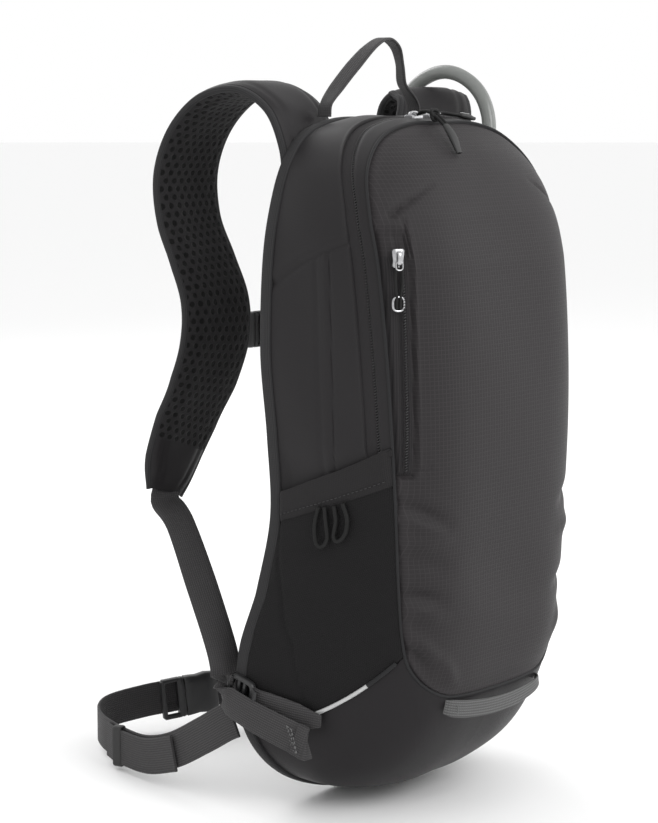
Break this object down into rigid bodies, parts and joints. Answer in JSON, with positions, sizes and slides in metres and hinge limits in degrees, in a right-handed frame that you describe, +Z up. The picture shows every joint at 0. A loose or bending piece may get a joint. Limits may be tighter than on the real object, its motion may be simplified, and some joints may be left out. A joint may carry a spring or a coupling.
{
  "type": "hydration pack",
  "caption": "Slim backpack with a drinking hose over the right shoulder strap, arched main zip, stretch side pockets, chest strap and waist belt.",
  "frame": {"origin": "foot of the back panel on its centre line, in the plane of the upper back", "axes": "+Z up along the back, +Y towards the wearer, +X to the wearer's right"},
  "size_m": [0.2412, 0.3105, 0.484],
  "materials": {
    "ripstop_fabric": "ripstop weave, faint sheen",
    "side_fabric": "plain nylon, faint sheen",
    "cup_fabric": "coated nylon",
    "back_fabric": "plain nylon",
    "air_mesh": "open spacer mesh",
    "stretch_mesh": "matte stretch knit",
    "binding_tape": "woven tape",
    "zip_tape": "woven tape with nylon coil",
    "zip_metal": "black lacquered metal",
    "pull_cord": "braided cord",
    "webbing": "woven webbing",
    "reflective_tape": "grey reflective webbing",
    "moulded_plastic": "moulded acetal",
    "clear_film": "clear film",
    "button_plastic": "smooth grey",
    "hose_tube": "translucent grey tube",
    "soft_rubber": "matte",
    "valve_silicone": "smooth silicone"
  },
  "bodies": {
    "pack": {"anchor_wing_left": "back_fabric", "anchor_wing_right": "back_fabric", "back_board": "back_fabric", "back_pad_lumbar_left": "air_mesh", "back_pad_lumbar_right": "air_mesh", "back_pad_upper_left": "air_mesh", "back_pad_upper_right": "air_mesh", "bite_valve_body": "moulded_plastic", "bottom_cup": "cup_fabric", "cord_loop_left": "pull_cord", "cord_loop_right": "pull_cord", "drinking_hose": "hose_tube", "edge_binding": "binding_tape", "frame_sheet": "moulded_plastic", "front_fold": "ripstop_fabric", "hose_connector": "moulded_plastic", "hose_keepers": "soft_rubber", "hose_port": "soft_rubber", "ladder_lock_left": "moulded_plastic", "ladder_lock_right": "moulded_plastic", "light_loop": "reflective_tape", "lower_front_wall": "ripstop_fabric", "main_zip_tape_rear": "zip_tape", "reservoir_bladder": "clear_film", "reservoir_hanger": "webbing", "reservoir_sleeve": "side_fabric", "reservoir_slide_closure": "moulded_plastic", "shoulder_pad_left": "air_mesh", "shoulder_pad_right": "air_mesh", "shoulder_webbing_left": "webbing", "shoulder_webbing_right": "webbing", "side_pocket_left": "stretch_mesh", "side_pocket_right": "stretch_mesh", "side_wall_left": "side_fabric", "side_wall_right": "side_fabric", "sternum_rails": "moulded_plastic", "top_wall": "side_fabric", "waist_buckle_socket": "moulded_plastic", "waist_webbing_left": "webbing", "waist_webbing_right": "webbing"},
    "front_flap": {"front_panel": "ripstop_fabric", "front_pocket_lining": "side_fabric", "main_zip_tape_front": "zip_tape", "pocket_zip_tape": "zip_tape"},
    "main_slider_left": {"main_slider_left": "zip_metal"},
    "main_pull_left": {"main_pull_left": "pull_cord"},
    "main_slider_right": {"main_slider_right": "zip_metal"},
    "main_pull_right": {"main_pull_right": "pull_cord"},
    "pocket_slider": {"pocket_slider": "zip_metal"},
    "pocket_pull": {"pocket_pull": "pull_cord"},
    "haul_loop": {"haul_loop": "webbing"},
    "sternum_left": {"sternum_slider_left": "moulded_plastic", "sternum_webbing_left": "webbing", "sternum_buckle_socket": "moulded_plastic"},
    "sternum_right": {"sternum_slider_right": "moulded_plastic", "sternum_webbing_right": "webbing"},
    "sternum_plug": {"sternum_buckle_plug": "moulded_plastic"},
    "waist_plug": {"waist_buckle_plug": "moulded_plastic"},
    "hose_button": {"release_button": "button_plastic"},
    "bite_valve": {"bite_valve_tip": "valve_silicone"}
  },
  "joints": [
    {"name": "front_opening", "type": "hinge", "parent": "pack", "child": "front_flap", "pos_m": [0, -0.077, 0.21], "axis": [1, 0, 0], "range_deg": [0, 50], "deforming": ["front_fold"]},
    {"name": "main_zip_left", "type": "slide", "parent": "front_flap", "child": "main_slider_left", "axis": [-1, 0, 0], "range_m": [0, 0.0362]},
    {"name": "main_zip_right", "type": "slide", "parent": "front_flap", "child": "main_slider_right", "axis": [1, 0, 0], "range_m": [0, 0.0362]},
    {"name": "main_pull_left_swing", "type": "hinge", "parent": "main_slider_left", "child": "main_pull_left", "pos_m": [-0.009, -0.0445, 0.434], "axis": [1, 0, 0], "range_deg": [-55, 0]},
    {"name": "main_pull_right_swing", "type": "hinge", "parent": "main_slider_right", "child": "main_pull_right", "pos_m": [0.0135, -0.042, 0.434], "axis": [0, 1, 0], "range_deg": [-60, 0]},
    {"name": "pocket_zip", "type": "slide", "parent": "front_flap", "child": "pocket_slider", "axis": [0, -0.0509, -0.9987], "range_m": [0, 0.1]},
    {"name": "pocket_pull_swing", "type": "hinge", "parent": "pocket_slider", "child": "pocket_pull", "pos_m": [-0.08754, -0.09224, 0.3475], "axis": [0.8485, -0.5291, 0], "range_deg": [-60, 0]},
    {"name": "haul_loop_flex", "type": "hinge", "parent": "pack", "child": "haul_loop", "pos_m": [0, 0, 0.4335], "axis": [1, 0, 0], "range_deg": [-20, 20], "stiffness_Nm_per_rad": 0.01},
    {"name": "sternum_height_left", "type": "slide", "parent": "pack", "child": "sternum_left", "axis": [0, 0, 1], "range_m": [-0.018, 0.018]},
    {"name": "sternum_height_right", "type": "slide", "parent": "pack", "child": "sternum_right", "axis": [0, 0, 1], "range_m": [-0.018, 0.018]},
    {"name": "sternum_release", "type": "slide", "parent": "sternum_left", "child": "sternum_plug", "axis": [1, 0, 0], "range_m": [0, 0.014]},
    {"name": "waist_release", "type": "slide", "parent": "pack", "child": "waist_plug", "axis": [-0.8818, 0.4609, -0.1002], "range_m": [0, 0.02]},
    {"name": "hose_release", "type": "slide", "parent": "pack", "child": "hose_button", "axis": [0, 1, 0], "range_m": [0, 0.0015], "stiffness_N_per_m": 200},
    {"name": "bite_valve_twist", "type": "hinge", "parent": "pack", "child": "bite_valve", "pos_m": [0.074, 0.108, 0.301], "axis": [-0.071, 0.0887, -0.9935], "range_deg": [0, 90]}
  ],
  "couplings": [
    {"joint": "main_zip_left", "follows": "front_opening", "m_per_rad": 0.041253},
    {"joint": "main_zip_right", "follows": "front_opening", "m_per_rad": 0.041253},
    {"joint": "sternum_height_right", "follows": "sternum_height_left", "ratio": 1}
  ]
}
